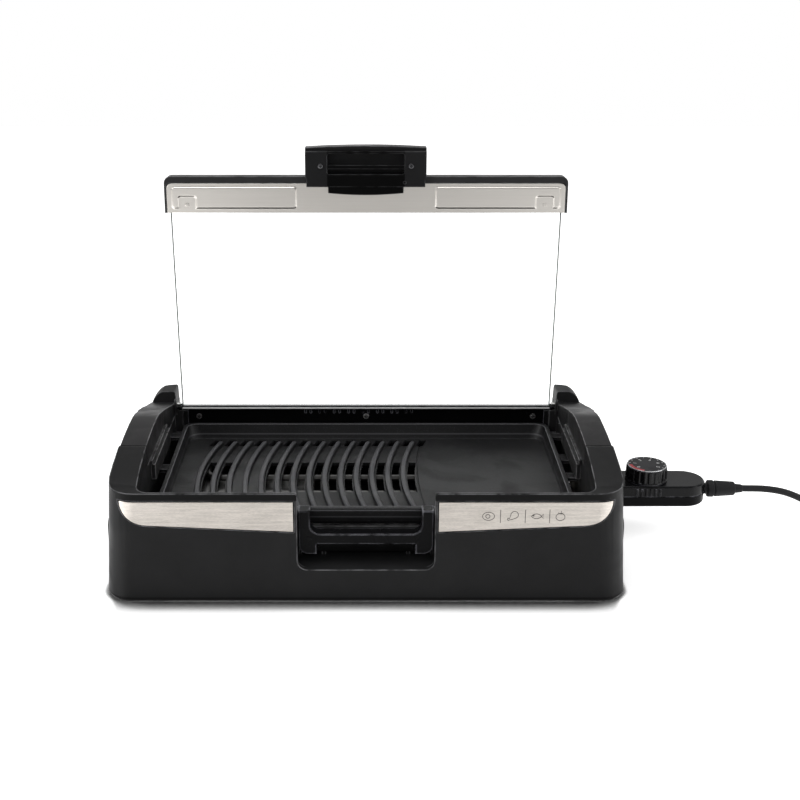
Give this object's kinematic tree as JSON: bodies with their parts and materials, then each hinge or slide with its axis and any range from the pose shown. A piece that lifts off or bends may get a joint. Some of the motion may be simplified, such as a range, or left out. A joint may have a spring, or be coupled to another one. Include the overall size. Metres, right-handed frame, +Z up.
{
  "type": "electric table grill",
  "caption": "Low rectangular electric table grill with a ribbed and flat cooking plate, upright hinged glass lid, pull-out drip tray, side thermostat with knob and mains cord.",
  "frame": {"origin": "on the table, under the middle of the box around casing, lid and thermostat, without the cord, its strain relief and its plug", "axes": "+Z up, -Y to the front, where the tray pulls out, +X to the thermostat's side"},
  "size_m": [0.8574, 0.3497, 0.3846],
  "materials": {
    "black_plastic": "matte, fine grain",
    "grey_plastic": "matte",
    "gloss_plastic": "glossy",
    "coated_cast": "black non-stick coating",
    "trim_steel": "brushed lengthways",
    "steel": "satin",
    "rod_steel": "heat-darkened",
    "insulator": "ceramic, matte",
    "brass": "plain",
    "glass": "clear",
    "rubber": "matte",
    "dial_print": "silver print"
  },
  "bodies": {
    "casing": {"base_shell": "black_plastic", "grill_plate": "coated_cast", "heating_element": "rod_steel", "terminal_block": "insulator", "reflector": "steel", "rear_panel": "black_plastic", "handle_cover_left": "grey_plastic", "rear_cap_left": "black_plastic", "side_ledge_left": "black_plastic", "trim_plate_left": "trim_steel", "hinge_bracket_left": "black_plastic", "hinge_pin_left": "steel", "foot_front_left": "rubber", "foot_rear_left": "rubber", "handle_cover_right": "grey_plastic", "rear_cap_right": "black_plastic", "side_ledge_right": "black_plastic", "trim_plate_right": "trim_steel", "hinge_bracket_right": "black_plastic", "hinge_pin_right": "steel", "foot_front_right": "rubber", "foot_rear_right": "rubber", "terminal_pin_front": "steel", "terminal_pin_rear": "steel", "panel_screw_left": "steel", "panel_screw_middle": "steel", "panel_screw_right": "steel"},
    "lid": {"lid_glass": "glass", "hinge_bar": "black_plastic", "lid_rail": "black_plastic", "lid_inner_plate": "steel", "lid_screw_left": "steel", "lid_screw_right": "steel", "handle_shell": "black_plastic", "handle_face": "black_plastic", "handle_screw_left": "steel", "handle_screw_right": "steel"},
    "tray": {"drip_tray": "gloss_plastic", "tray_grip": "gloss_plastic"},
    "thermostat": {"thermostat_bottom": "gloss_plastic", "thermostat_top": "gloss_plastic", "probe_nose": "gloss_plastic", "probe_stem": "steel", "contact_sleeve_front": "brass", "contact_sleeve_rear": "brass", "strain_relief": "rubber", "mains_cord": "rubber", "cord_coil": "rubber", "plug_body": "rubber", "plug_pin_left": "steel", "plug_pin_right": "steel"},
    "knob": {"knob": "gloss_plastic", "knob_dial": "dial_print", "knob_shaft": "steel"}
  },
  "joints": [
    {"name": "lid_hinge", "type": "hinge", "parent": "casing", "child": "lid", "pos_m": [0, 0.1086, 0.1007], "axis": [1, 0, 0], "range_deg": [0, 92.5]},
    {"name": "tray_slide", "type": "slide", "parent": "casing", "child": "tray", "axis": [0, -1, 0], "range_m": [0, 0.19]},
    {"name": "thermostat_pull", "type": "slide", "parent": "casing", "child": "thermostat", "axis": [1, 0, 0], "range_m": [0, 0.075]},
    {"name": "knob_turn", "type": "hinge", "parent": "thermostat", "child": "knob", "pos_m": [0.23936, 0.0056, 0.065], "axis": [0, 0, -1], "range_deg": [0, 270]}
  ]
}
